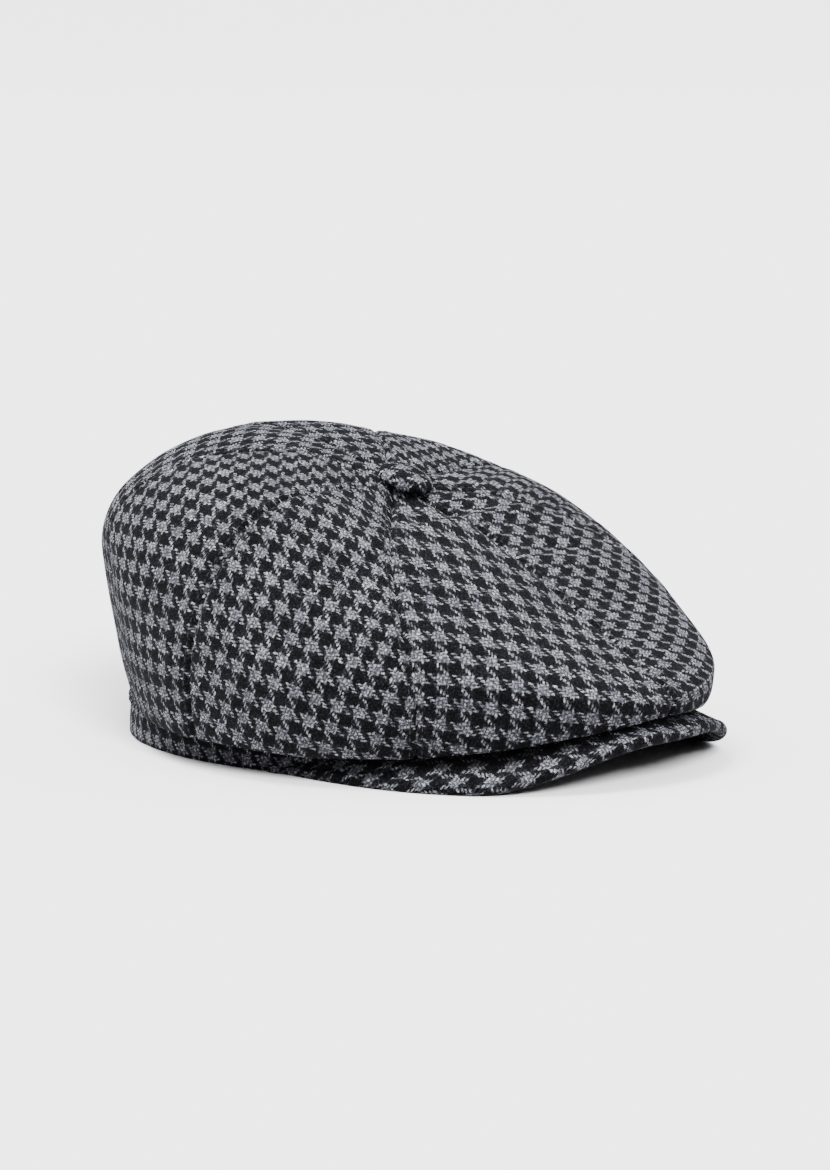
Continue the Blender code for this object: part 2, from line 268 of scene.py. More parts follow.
# Colours
BLACK = (0.0, 0.0, 0.0, 1.0)
WHITE = (1.0, 1.0, 1.0, 1.0)
LIGHT_YARN = (0.93, 0.935, 1.0, 1.0)
# The two shadow colours are painted shade in the gaps and down the threads' sides, and also the low end
# of each yarn's fibre tones
LIGHT_SHADOW = (0.050, 0.051, 0.062, 1.0)
DARK_YARN = (0.037, 0.036, 0.045, 1.0)
DARK_SHADOW = (0.0010, 0.0010, 0.0014, 1.0)
STRAY_HAIR = (0.55, 0.55, 0.62, 1.0)
SHEEN_TINT = (0.75, 0.75, 0.82, 1.0)
SEWING_DARK = (0.010, 0.010, 0.012, 1.0)
SEWING_LIGHT = (0.035, 0.035, 0.040, 1.0)
SEWING_PLY_SCALE = 3200.0

# Camera: the photo's angle, and where its middle lies from the point it is aimed at
CAMERA_TURN = -51.0
CAMERA_RISE = 8.2
CAMERA_REACH = 1.545
CAMERA_AIM_UP = 0.0515
CAMERA_RIGHT = 0.0168
CAMERA_UP = 0.0074
CAMERA_LENS = 122.8
CAMERA_FILM = 36.0
CAMERA_NEAR = 0.05
CAMERA_FAR = 100.0

# Light: the studio's even light from above, which falls to a low level over this range of heights,
# the soft key, and a second lamp that lights the floor alone
LIGHT_ABOVE = 2.4
LIGHT_LEVEL = 0.08
LIGHT_RISE = (0.15, 0.80)
LIGHT_TINT = (0.98, 0.99, 1.03, 1.0)
KEY_LIGHT = 4.0
KEY_SPREAD = 24.0
KEY_WAY = (0.34, -0.12, -1.0)
FLOOR_LIGHT = 12.3
FLOOR_SPREAD = 20.0
FLOOR_WAY = (1.02, 1.28, -1.0)

# Floor: its rings, its sweep up to the backdrop, its paint, and what the paint gives off where the
# lamp reaches it less, so that it looks the same all round. A disc under it throws light back.
FLOOR_SIDES = 96
FLOOR_RINGS = (1.0, 4.0, 12.0)
FLOOR_SWEEP = 2.0
SWEEP_STEPS = 8
SWEEP_GLOW = 1.5
SWEEP_FILL = 1.2
FLOOR_PAINT = 0.8
FLOOR_DARK = (0.79, 0.79, 0.79, 1.0)
FLOOR_PALE = (0.81, 0.81, 0.81, 1.0)
FLOOR_GRAIN_SCALE = 900.0
FLOOR_THROW = (0.47, 0.47, 0.47, 1.0)
THROW_UNDER = 0.0002


def smooth_step(value):
    x = np.clip(value, 0.0, 1.0)
    return x * x * (3.0 - 2.0 * x)


def fade_ends(t, fades):
    """Full between the button and the band, and fading to nothing over a share at each end."""
    return smooth_step(t / fades[0]) * smooth_step((1.0 - t) / fades[1])


def bezier(a, b, c, d, u):
    v = 1.0 - u
    return v * v * v * a + 3.0 * v * v * u * b + 3.0 * v * u * u * c + u * u * u * d


def hermite(a, slope_a, b, slope_b, span, u):
    v = 1.0 - u
    return (
        (1.0 + 2.0 * u) * v * v * a
        + u * v * v * span * slope_a
        + u * u * (3.0 - 2.0 * u) * b
        - u * u * v * span * slope_b
    )


def seam_value(turn, column):
    """A column of the seam table at any turns: a smooth closed curve through the rows."""
    turns = np.array([row.turn for row in SEAMS], float)
    values = np.array([getattr(row, column) for row in SEAMS], float)
    x = np.concatenate([turns - 360.0, turns, turns + 360.0])
    y = np.tile(values, 3)
    slope = np.zeros_like(y)
    slope[1:-1] = (y[2:] - y[:-2]) / (x[2:] - x[:-2])
    turn = np.mod(turn, 360.0)
    i = np.clip(np.searchsorted(x, turn, side="right") - 1, 0, len(x) - 2)
    span = x[i + 1] - x[i]
    return hermite(y[i], slope[i], y[i + 1], slope[i + 1], span, (turn - x[i]) / span)


def head_point(turn, grow=0.0):
    """Plan points on the head oval about its own middle, grown outwards."""
    s, c = np.sin(np.radians(turn)), np.cos(np.radians(turn))
    reach = 1.0 / np.sqrt((s / (HEAD_WIDTH / 2.0 + grow)) ** 2 + (c / (HEAD_LENGTH / 2.0 + grow)) ** 2)
    return np.stack([reach * s, -reach * c], -1)


def head_normal(turn):
    point = head_point(turn)
    normal = point / np.array([(HEAD_WIDTH / 2.0) ** 2, (HEAD_LENGTH / 2.0) ** 2])
    return normal / np.linalg.norm(normal, axis=-1, keepdims=True)


def band_bottom(turn):
    share = (np.cos(np.radians(turn)) - BAND_RISE_START) / (1.0 - BAND_RISE_START)
    return BAND_FRONT_RISE * np.clip(share, 0.0, 1.0) ** BAND_RISE_POWER


def band_from_button(turn):
    a, b = HEAD_LENGTH / 2.0, HEAD_WIDTH / 2.0
    s, c = np.sin(np.radians(turn)), np.cos(np.radians(turn))
    square = (s / b) ** 2 + (c / a) ** 2
    linear = 2.0 * BUTTON_AHEAD * c / a ** 2
    rest = (BUTTON_AHEAD / a) ** 2 - 1.0
    reach = (-linear + np.sqrt(linear * linear - 4.0 * square * rest)) / (2.0 * square)
    head_turn = np.degrees(np.arctan2(reach * s, BUTTON_AHEAD + reach * c))
    return reach, band_bottom(head_turn) + BAND_HEIGHT


def swung_turn(turn, t):
    return turn + seam_value(turn, "drift") * smooth_step((t - DRIFT_START) / DRIFT_SPAN)


def crown_profile(turn, t, depth):
    """Distances out and heights of the crown at t from 0 (button) to 1 (band)."""
    crest_out, slope, shoulder, side, tuck = (
        seam_value(turn, column) for column in ("crest_out", "slope", "shoulder", "side", "tuck")
    )
    crest_up = seam_value(turn, "crest_up") - depth
    full_out = seam_value(turn, "full_out") - depth
    full_up = seam_value(turn, "full_up")
    fold_out = full_out + depth - seam_value(turn, "inset")
    fold_up = seam_value(turn, "fold_up") + depth
    ends = STRETCH_ENDS
    u = [np.clip((t - a) / (b - a), 0.0, 1.0) for a, b in zip(ends, ends[1:])]
    fall = -BUTTON_SLOPE * np.cos(np.radians(turn))
    top = BUTTON_SEAT - depth + fall * PANEL_START
    span = crest_out - PANEL_START
    band_out, band_up = band_from_button(swung_turn(turn, t))
    lap_out = band_out + LAP_OUTSIDE
    end_up = band_up + LAP_GAP + depth
    upper = shoulder * (full_out - crest_out)
    drop = side * (crest_up - full_up)
    under = UNDER_EASE * (fold_out - lap_out)
    outs = (
        PANEL_START + span * u[0],
        bezier(crest_out, crest_out + upper, full_out, full_out, u[1]),
        bezier(full_out, full_out, fold_out + tuck * (full_out - fold_out), fold_out, u[2]),
        bezier(fold_out, fold_out - under, lap_out + under, lap_out, u[3]),
        lap_out + (band_out - LAP_INSIDE - lap_out) * u[4],
    )
    ups = (
        hermite(top, fall, crest_up, slope, span, u[0]),
        bezier(crest_up, crest_up + slope * upper, full_up + drop, full_up, u[1]),
        bezier(full_up, full_up - tuck * (full_up - fold_up), fold_up, fold_up, u[2]),
        bezier(fold_up, fold_up, end_up, end_up, u[3]),
        end_up,
    )
    place = [t <= end for end in ends[1:-1]]
    return np.select(place, outs[:-1], outs[-1]), np.select(place, ups[:-1], ups[-1])


def fine_relief(turn, out):
    """The finer folds: lines where the cloth breaks, a dip above each and a roll below it."""
    height = 0.0
    for fold in FINE_FOLDS:
        away = np.radians(turn - fold.turn)
        off = (out * np.cos(away) - fold.out) / fold.width
        along = (out * np.sin(away) - fold.along) / fold.reach
        height = height + fold.height * np.exp(-along * along) * off * np.exp(-off * off)
    return height


def crown_relief(turn, out, t, across):
    height = PANEL_PUFF * np.sin(pi * across) * fade_ends(t, PUFF_FADES)
    upper = t < STRETCH_ENDS[2]
    for fold in FOLDS:
        round_way = (np.mod(turn - fold.turn + 180.0, 360.0) - 180.0) / fold.reach_turn
        out_way = (out - fold.out) / fold.reach_out
        height = height + upper * fold.height * np.exp(-round_way ** 2 - out_way ** 2)
    return height


def seam_relief(width, t, across):
    """The groove of the sewn seams, and the soft bank that their turnings raise beside them."""
    off = np.minimum(across, 1.0 - across) * width
    fade = smooth_step((t - SEAM_START) / SEAM_START_FADE) * smooth_step((SEAM_END - t) / SEAM_END_FADE)
    groove = -SEAM_DEPTH * np.exp(-(off / SEAM_REACH) ** 2)
    bank = SEAM_BANK * np.exp(-((off - BANK_OFF) / BANK_REACH) ** 2)
    sewn = -SEWN_DIP * np.exp(-((off - STITCH_OFF) / SEWN_REACH) ** 2)
    return (groove + bank + sewn) * fade


def cloth_wave(points):
    """Slow unevenness of soft cloth, under half a millimetre."""
    x, y, z = (points[..., k] for k in range(3))
    wave = np.sin(131.0 * x + 47.0 * z + 1.3) * np.sin(103.0 * y - 61.0 * z + 0.4)
    wave = wave + 0.6 * np.sin(223.0 * x - 151.0 * y + 2.1) * np.sin(197.0 * z + 89.0 * y)
    return WAVE_HEIGHT * wave


def crown_surface(turn, t, across, depth, span, fine):
    """Points of the crown, so deep under its outside; span is the panel's reach in degrees."""
    out, up = crown_profile(turn, t, depth)
    ahead = crown_profile(turn, np.minimum(t + SLOPE_STEP, 1.0), 0.0)
    behind = crown_profile(turn, np.maximum(t - SLOPE_STEP, 0.0), 0.0)
    run, rise = ahead[0] - behind[0], ahead[1] - behind[1]
    size = np.maximum(np.hypot(run, rise), 1e-9)
    relief = crown_relief(turn, out, t, across)
    place = np.radians(swung_turn(turn, t))
    s, c = np.sin(place), np.cos(place)
    if fine:
        points = np.stack([out * s, -out * c, up], -1)
        wave = cloth_wave(points) * fade_ends(t, WAVE_FADES)
        relief = relief + seam_relief(out * np.radians(span), t, across) + wave
        relief = relief + fine_relief(turn, out) * (t < STRETCH_ENDS[2])
    out = out - rise / size * relief
    up = up + run / size * relief
    return np.stack([out * s, HEAD_BACK - BUTTON_AHEAD - out * c, up], -1)


def quads_over(index):
    """Four-sided faces over a grid of point numbers, along its rows first."""
    return np.stack([index[:-1, :-1], index[:-1, 1:], index[1:, 1:], index[1:, :-1]], -1).reshape(-1, 4)


def grid_faces(rows, columns, start=0, flip=False):
    """Four-sided faces over a grid of points in order, down its columns first."""
    index = start + np.arange(rows * columns).reshape(rows, columns)
    quads = quads_over(index)[:, [0, 3, 2, 1]]
    return quads[:, ::-1] if flip else quads


def row_places(parts):
    """Rows down a panel, each part with its own spacing, and the last row at the band."""
    return np.concatenate([np.linspace(a, b, n, endpoint=False) for a, b, n in parts] + [[1.0]])


def seam_columns(count):
    """Places across a panel, close together by the seams."""
    x = np.linspace(-1.0, 1.0, count)
    eased = np.sign(x) * (1.0 - (1.0 - np.abs(x)) ** SEAM_CROWDING)
    return 0.5 + 0.5 * eased


def flatten(points):
    """Lays a curved sheet of points flat with as little stretch as can be, as cut cloth lies."""
    rows, columns = points.shape[:2]
    flat = points.reshape(-1, 3)
    quads = quads_over(np.arange(rows * columns).reshape(rows, columns))
    faces = np.concatenate([quads[:, [0, 1, 2]], quads[:, [0, 2, 3]]])
    edge = flat[faces[:, 1]] - flat[faces[:, 0]]
    other = flat[faces[:, 2]] - flat[faces[:, 0]]
    length = np.linalg.norm(edge, axis=1)
    along = edge / length[:, None]
    normal = np.cross(edge, other)
    doubled = np.linalg.norm(normal, axis=1)
    side = np.cross(normal / doubled[:, None], along)
    local = np.zeros((len(faces), 3, 2))
    local[:, 1, 0] = length
    local[:, 2, 0] = (other * along).sum(1)
    local[:, 2, 1] = (other * side).sum(1)
    count = rows * columns
    matrix = np.zeros((count, count))
    pairs = []
    for k in range(3):
        i, j, far = k, (k + 1) % 3, (k + 2) % 3
        to_i, to_j = local[:, i] - local[:, far], local[:, j] - local[:, far]
        weight = np.maximum((to_i * to_j).sum(1) / doubled, LEAST_WEIGHT) / 2.0
        pairs.append((i, j, weight))
        np.add.at(matrix, (faces[:, i], faces[:, i]), weight)
        np.add.at(matrix, (faces[:, j], faces[:, j]), weight)
        np.add.at(matrix, (faces[:, i], faces[:, j]), -weight)
        np.add.at(matrix, (faces[:, j], faces[:, i]), -weight)
    matrix[0, 0] += 1.0
    solve = np.linalg.inv(matrix)
    widths = np.linalg.norm(np.diff(points, axis=1), axis=-1)
    across = np.concatenate([np.zeros((rows, 1)), np.cumsum(widths, axis=1)], axis=1)
    across -= across[:, -1:] / 2.0
    lengths = np.linalg.norm(np.diff(points[:, columns // 2], axis=0), axis=-1)
    down = np.concatenate([[0.0], np.cumsum(lengths)])
    laid = np.stack([across, np.repeat(down[:, None], columns, 1)], -1).reshape(-1, 2)
    for _ in range(FLATTEN_ROUNDS):
        spin = np.zeros((len(faces), 2, 2))
        for i, j, weight in pairs:
            now = laid[faces[:, i]] - laid[faces[:, j]]
            was = local[:, i] - local[:, j]
            spin += weight[:, None, None] * now[:, :, None] * was[:, None, :]
        angle = np.arctan2(spin[:, 1, 0] - spin[:, 0, 1], spin[:, 0, 0] + spin[:, 1, 1])
        c, s = np.cos(angle), np.sin(angle)
        turned = np.stack([np.stack([c, -s], -1), np.stack([s, c], -1)], 1)
        goal = np.zeros((count, 2))
        for i, j, weight in pairs:
            push = weight[:, None] * np.einsum("fab,fb->fa", turned, local[:, i] - local[:, j])
            np.add.at(goal, faces[:, i], push)
            np.add.at(goal, faces[:, j], -push)
        goal[0] += laid[0]
        laid = solve @ goal
    return laid.reshape(rows, columns, 2)


def resample(values, from_rows, from_columns, to_rows, to_columns):
    """Values on a grid, read between its lines at other rows and columns."""
    half = np.stack([np.interp(to_rows, from_rows, values[:, k]) for k in range(values.shape[1])], 1)
    return np.stack([np.interp(to_columns, from_columns, row) for row in half], 0)


def lay_weave(panel, start, span):
    """Counts the threads over the cut panel, on a coarse grid of its flat places."""
    rows = row_places(WEAVE_ROWS)
    columns = np.linspace(0.0, 1.0, WEAVE_COLUMNS)
    t, across = np.meshgrid(rows, columns, indexing="ij")
    points = crown_surface(start + span * across, t, across, 0.0, span, False)
    laid = flatten(points)
    centre = WEAVE_COLUMNS // 2
    upper, lower = (laid[row, centre] for row in LINE_ROWS)
    line = lower - upper
    angle = atan2(line[0], line[1])
    s, c = sin(angle), cos(angle)
    x = laid[..., 0] * c - laid[..., 1] * s
    y = laid[..., 0] * s + laid[..., 1] * c
    x -= x[WIDEST_ROW, centre]
    y -= y[WIDEST_ROW, centre]
    counts = []
    for turn, repeat, bow, first in (
        (panel.across_turn, panel.across_repeat, panel.across_bow, panel.across_start),
        (panel.along_turn, panel.along_repeat, panel.along_bow, panel.along_start),
    ):
        way = (x * cos(radians(turn)) + y * sin(radians(turn))) / repeat + bow * (y / BOW_REACH) ** 2
        counts.append(2.0 * SHADE_RUN * way + first)
    return rows, columns, counts


def place_object(name, data):
    """A new object in the scene."""
    item = bpy.data.objects.new(name, data)
    bpy.context.scene.collection.objects.link(item)
    return item


def mesh_object(name, points, faces, weave, material):
    """A mesh piece that rides on the cap, with its weave in threads as its map."""
    mesh = bpy.data.meshes.new(name)
    mesh.from_pydata(np.asarray(points).tolist(), [], [tuple(int(i) for i in f) for f in faces])
    if weave is not None:
        layer = mesh.uv_layers.new(name="weave")
        order = np.empty(len(mesh.loops), dtype=np.int64)
        mesh.loops.foreach_get("vertex_index", order)
        layer.data.foreach_set("uv", np.asarray(weave, dtype=np.float32)[order].ravel())
    mesh.materials.append(material)
    mesh.shade_smooth()
    item = place_object(name, mesh)
    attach(item, "root")
    return item


def make_panel(index, material):
    """A crown panel: its outside with seams and folds, its plain inside, and the rim between."""
    panel = PANELS[index]
    start = SEAMS[index].turn
    end = SEAMS[(index + 1) % len(SEAMS)].turn + (360.0 if index == len(SEAMS) - 1 else 0.0)
    span = end - start
    rows = row_places(PANEL_ROWS)
    columns = seam_columns(PANEL_COLUMNS)
    t, across = np.meshgrid(rows, columns, indexing="ij")
    turn = start + span * across
    outer = crown_surface(turn, t, across, 0.0, span, True)
    inner = crown_surface(turn, t, across, CLOTH, span, False)
    from_rows, from_columns, counts = lay_weave(panel, start, span)
    weave = np.stack([resample(way, from_rows, from_columns, rows, columns) for way in counts], -1)
    count = t.size
    grid = np.arange(count).reshape(t.shape)
    faces = [grid_faces(*t.shape), grid_faces(*t.shape, start=count, flip=True)]
    rim = np.concatenate([grid[0, :], grid[1:, -1], grid[-1, -2::-1], grid[-2:0:-1, 0]])
    following = np.roll(rim, -1)
    faces.append(np.stack([rim, following, following + count, rim + count], -1))
    points = np.concatenate([outer.reshape(-1, 3), inner.reshape(-1, 3)])
    both = np.concatenate([weave.reshape(-1, 2)] * 2)
    item = mesh_object("cloth_" + panel.node, points, np.concatenate(faces), both, material)
    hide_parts(panel.node)


def make_band(material):
    """The band: a strip with a round lower edge, and a wall that swells and wavers a little."""
    turns = np.linspace(0.0, 360.0, BAND_SIDES + 1)
    section = []
    high = BAND_HEIGHT
    edge = BAND_EDGE
    for k in range(BAND_EDGE_STEPS + 1):
        angle = pi / 2.0 * k / BAND_EDGE_STEPS
        section.append((-edge * (1.0 - sin(angle)), edge * (1.0 - cos(angle))))
    for k in range(1, BAND_WALL_STEPS):
        up = edge + (high - edge) * k / BAND_WALL_STEPS
        section.append((BAND_SWELL * sin(pi * k / BAND_WALL_STEPS), up))
    section.append((-BAND_TOP_EASE[0], high - BAND_TOP_EASE[1]))
    for up in np.linspace(high, 0.0, BAND_INNER_ROWS):
        section.append((-BAND_WALL, up))
    low = band_bottom(turns)
    share = (BAND_RISE_START - np.cos(np.radians(turns))) / (1.0 + BAND_RISE_START)
    flare = BAND_FLARE * np.clip(share, 0.0, 1.0)
    ring = head_point(turns)
    lengths = np.linalg.norm(np.diff(ring, axis=0), axis=-1)
    round_way = np.concatenate([[0.0], np.cumsum(lengths)]) / THREAD
    whole = 2.0 * SHADE_RUN * round(round_way[-1] / (2.0 * SHADE_RUN))
    round_way *= whole / round_way[-1]
    points, weave = [], []
    travel = 0.0
    before = section[0]
    for grow, up in section:
        travel += ((grow - before[0]) ** 2 + (up - before[1]) ** 2) ** 0.5
        before = (grow, up)
        soft = BAND_WAVER * np.sin(np.radians(turns) * 23.0 + 1.0) * np.sin(np.radians(turns) * 9.0)
        flat = ring + head_normal(turns) * (grow + flare * (1.0 - up / high) + soft)[:, None]
        points.append(np.stack([flat[:, 0], flat[:, 1] + HEAD_BACK, low + up], -1))
        upward = np.full_like(round_way, BAND_CLOTH_START - travel / THREAD)
        weave.append(np.stack([round_way, upward], -1))
    points, weave = np.array(points), np.array(weave)
    index = np.arange(len(section) * (BAND_SIDES + 1)).reshape(len(section), BAND_SIDES + 1)
    quads = quads_over(np.concatenate([index, index[:1]]))
    item = mesh_object("cloth_band", points.reshape(-1, 3), quads, weave.reshape(-1, 2), material)
    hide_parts("band")


def peak_half(turn):
    """Half the peak's thickness: full at the front, thinner towards its ends."""
    thin = smooth_step((np.abs(turn) - PEAK_THIN_START) / (PEAK_END_TURN - PEAK_THIN_START))
    return PEAK_WALL / 2.0 * (1.0 - (1.0 - PEAK_END_SHARE) * thin)


def peak_outer(turn):
    depth = PEAK_DEPTH * np.cos(pi / 2.0 * turn / PEAK_HALF_TURN) ** PEAK_TAPER
    beyond = np.maximum(depth - peak_half(turn), PEAK_END_WIDTH)
    edge = head_point(turn) + head_normal(turn) * beyond[:, None]
    edge_turn = np.abs(np.degrees(np.arctan2(edge[:, 0], -edge[:, 1])))
    fall = smooth_step((edge_turn - PEAK_LIFT_FLAT) / (PEAK_LIFT_END - PEAK_LIFT_FLAT))
    return edge, PEAK_LIFT * (1.0 - fall)


def make_peak(material):
    """The peak: a stiff board with cloth drawn round its edge."""
    turns = PEAK_END_TURN * np.linspace(-1.0, 1.0, PEAK_COLUMNS)
    inner = head_point(turns, PEAK_GAP)
    outer, outer_up = peak_outer(turns)
    half = peak_half(turns)
    reach = outer - inner
    width = np.linalg.norm(reach, axis=1)
    way = reach / width[:, None]
    section = [(k / PEAK_STEPS, pi / 2.0) for k in range(PEAK_STEPS + 1)]
    section += [(1.0, pi / 2.0 - pi * k / PEAK_EDGE_STEPS) for k in range(1, PEAK_EDGE_STEPS)]
    section += [(1.0 - k / PEAK_STEPS, -pi / 2.0) for k in range(PEAK_STEPS + 1)]
    cloth_turn = radians(PEAK_CLOTH_TURN)
    points, weave, light = [], [], []
    for w, angle in section:
        flat = inner + reach * w + way * (half * cos(angle) * (w == 1.0))[:, None]
        bow = PEAK_BOW * np.sin(pi * w) * np.cos(pi / 2.0 * turns / PEAK_HALF_TURN)
        up = band_bottom(turns) * (1.0 - w) + outer_up * w + bow + half * (1.0 + sin(angle))
        wrapped = half * (pi / 2.0 - angle)
        under = width * (1.0 - w) * (angle < 0.0)
        laid = inner + way * (width * (w if angle > 0.0 else 1.0) + wrapped + under)[:, None]
        points.append(np.stack([flat[:, 0], flat[:, 1] + HEAD_BACK, up], -1))
        turned = np.stack([laid[:, 0] * cos(cloth_turn) - laid[:, 1] * sin(cloth_turn),
                           -laid[:, 0] * sin(cloth_turn) - laid[:, 1] * cos(cloth_turn)], -1)
        weave.append(turned / PEAK_THREAD + np.array(PEAK_CLOTH_START))
        # Painted shade: the top of the peak's cloth is darkened towards its inner part, where the crown
        # overhangs it, and kept as the mesh's light attribute
        inward = (width * (1.0 - w) - PEAK_SHADE_START) / (PEAK_SHADE_FULL - PEAK_SHADE_START)
        light.append(1.0 - (1.0 - PEAK_SHADE) * smooth_step(inward) * (angle > 0.0))
    points, weave = np.array(points), np.array(weave)
    rows, columns = points.shape[:2]
    faces = [grid_faces(rows, columns)]
    index = np.arange(rows * columns).reshape(rows, columns)
    for column in (0, columns - 1):
        line = index[:, column]
        for k in range((rows - 1) // 2):
            one = [line[k], line[k + 1], line[rows - 2 - k], line[rows - 1 - k]]
            if len(set(one)) == 4:
                faces.append(np.array([one if column == 0 else one[::-1]]))
    faces.append(quads_over(index[[0, -1]]))
    item = mesh_object("cloth_peak", points.reshape(-1, 3), np.concatenate(faces), weave.reshape(-1, 2),
                       material)
    shade = item.data.attributes.new("light", "FLOAT", "POINT")
    shade.data.foreach_set("value", np.array(light).ravel())
    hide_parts("peak")


def make_button(material):
    """The covered button: a domed shell with its cloth gathered under the rim."""
    turns = np.linspace(0.0, 2.0 * pi, BUTTON_SIDES + 1)[:-1]
    tilt = Matrix.Rotation(atan(BUTTON_SLOPE), 4, "X")
    ahead = BUTTON_AHEAD + BUTTON_FORWARD
    seat = Vector((0.0, HEAD_BACK - ahead, BUTTON_SEAT - BUTTON_SLOPE * BUTTON_FORWARD))
    seat += tilt @ Vector((0.0, 0.0, BUTTON_CLEAR))
    place = np.array(Matrix.Translation(seat) @ tilt)
    points, weave = [], []
    for reach, up in BUTTON_SECTION:
        fade = smooth_step((BUTTON_RIM - up) / GATHER_FADE)
        gather = BUTTON_GATHER * np.sin(turns * BUTTON_GATHERS) * fade
        radius = BUTTON_RADIUS * (reach + gather)
        points.append(np.stack([radius * np.cos(turns), radius * np.sin(turns),
                                np.full_like(turns, BUTTON_HEIGHT * up)], -1))
        wrapped = reach if up > BUTTON_RIM else 1.0 + BUTTON_TURNED_IN * (BUTTON_RIM - up)
        laid = BUTTON_RADIUS * wrapped
        weave.append(np.stack([laid * np.cos(turns), -laid * np.sin(turns)], -1) / THREAD)
    points, weave = np.array(points), np.array(weave) + np.array(BUTTON_CLOTH_START)
    flat = points.reshape(-1, 3) @ place[:3, :3].T + place[:3, 3]
    index = np.arange(len(BUTTON_SECTION) * BUTTON_SIDES).reshape(-1, BUTTON_SIDES)
    index = np.concatenate([index, index[:, :1]], axis=1)
    faces = [tuple(q) for q in quads_over(index)] + [tuple(index[-1, :-1]), tuple(index[0, -2::-1])]
    item = mesh_object("cloth_button", flat, faces, weave.reshape(-1, 2), material)
    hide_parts("button")


def seam_line(index, side):
    """Points down a line of stitches, and how far down each lies; side is 1 or -1."""
    seam = SEAMS[index]
    t = np.linspace(*STITCH_SPAN, STITCH_SAMPLES)
    out = crown_profile(np.full_like(t, seam.turn), t, 0.0)[0]
    following = SEAMS[(index + 1) % len(SEAMS)].turn
    wide = following - seam.turn if side > 0 else seam.turn - SEAMS[index - 1].turn
    wide = wide % 360.0
    off = STITCH_OFF / (out * np.radians(wide))
    across = off if side > 0 else 1.0 - off
    line = crown_surface(seam.turn + side * wide * off, t, across, 0.0, wide, True)
    steps = np.linalg.norm(np.diff(line, axis=0), axis=1)
    return line, np.concatenate([[0.0], np.cumsum(steps)])


def stitch_points(body):
    """Rings of points round a stitch whose middle line is given."""
    ahead = body[-1] - body[0]
    ahead = ahead / max(np.linalg.norm(ahead), 1e-9)
    away = body[len(body) // 2] - np.array([0.0, HEAD_BACK - BUTTON_AHEAD, CROWN_INSIDE_UP])
    away = away - ahead * (away @ ahead)
    away = away / np.linalg.norm(away)
    beside = np.cross(ahead, away)
    points = []
    for spot, (_, girth, lift) in zip(body, STITCH_RINGS):
        for m in range(STITCH_SIDES):
            angle = 2.0 * pi * m / STITCH_SIDES
            bulge = away * (lift + girth * cos(angle)) + beside * girth * sin(angle)
            points.append(spot + STITCH_RADIUS * bulge)
    return points


def make_stitches(material):
    """Short stitches in two rows beside every crown seam."""
    points, faces = [], []
    shares = np.array([share for share, _, _ in STITCH_RINGS])
    for index in range(len(SEAMS)):
        for side in (-1.0, 1.0):
            line, lengths = seam_line(index, side)
            for k in range(int(lengths[-1] / STITCH_PITCH)):
                marks = STITCH_PITCH * k + STITCH_LENGTH * shares
                body = np.stack([np.interp(marks, lengths, line[:, axis]) for axis in range(3)], -1)
                first = len(points)
                points += stitch_points(body)
                for n in range(len(STITCH_RINGS) - 1):
                    for m in range(STITCH_SIDES):
                        a = first + n * STITCH_SIDES + m
                        b = first + n * STITCH_SIDES + (m + 1) % STITCH_SIDES
                        faces.append((a, b, b + STITCH_SIDES, a + STITCH_SIDES))
    mesh_object("seam_stitches", points, faces, None, material)


class Nodes:
    """Small helper that adds and joins shader nodes."""

    def __init__(self, name):
        self.material = bpy.data.materials.new(name)
        self.material.use_nodes = True
        self.tree = self.material.node_tree
        self.shader = self.tree.nodes["Principled BSDF"]

    def add(self, kind, **settings):
        node = self.tree.nodes.new(kind)
        for key, value in settings.items():
            setattr(node, key, value)
        return node

    def link(self, value, socket):
        if isinstance(value, bpy.types.NodeSocket):
            self.tree.links.new(value, socket)
        else:
            socket.default_value = value

    def math(self, operation, *values, clamp=False):
        node = self.add("ShaderNodeMath", operation=operation, use_clamp=clamp)
        for value, socket in zip(values, node.inputs):
            self.link(value, socket)
        return node.outputs[0]

    def mix(self, factor, a, b):
        node = self.add("ShaderNodeMix", data_type="FLOAT")
        self.link(factor, node.inputs[0])
        self.link(a, node.inputs[2])
        self.link(b, node.inputs[3])
        return node.outputs[0]

    def blend(self, factor, a, b):
        node = self.add("ShaderNodeMix", data_type="RGBA")
        self.link(factor, node.inputs[0])
        self.link(a, node.inputs[6])
        self.link(b, node.inputs[7])
        return node.outputs[2]

    def noise(self, vector, scale, detail=2.0, roughness=0.5):
        node = self.add("ShaderNodeTexNoise")
        self.link(vector, node.inputs["Vector"])
        node.inputs["Scale"].default_value = scale
        node.inputs["Detail"].default_value = detail
        node.inputs["Roughness"].default_value = roughness
        return node.outputs["Fac"]

    def swing(self, value, reach, middle=0.5, clamp=False):
        """A value's distance from its middle, times so much."""
        return self.math("MULTIPLY", self.math("SUBTRACT", value, middle), reach, clamp=clamp)

    def hairs(self, beside, along, slant):
        """Where a fine hair lies: narrow across its thread, long beside it and a little slanted."""
        join = self.add("ShaderNodeCombineXYZ")
        shifted = self.math("ADD", beside, self.math("MULTIPLY", along, slant))
        self.link(self.math("MULTIPLY", shifted, HAIR_ACROSS), join.inputs[0])
        self.link(self.math("MULTIPLY", along, HAIR_ALONG), join.inputs[1])
        return join.outputs[0]

    def random(self, x, y, z=0.0):
        join = self.add("ShaderNodeCombineXYZ")
        for value, socket in zip((x, y, z), join.inputs):
            self.link(value, socket)
        node = self.add("ShaderNodeTexWhiteNoise", noise_dimensions="3D")
        self.link(join.outputs[0], node.inputs["Vector"])
        return node.outputs["Value"]

    def surface(self, **values):
        """Sets the shader's own sockets, named with _ for a space."""
        for name, value in values.items():
            self.shader.inputs[name.replace("_", " ")].default_value = value


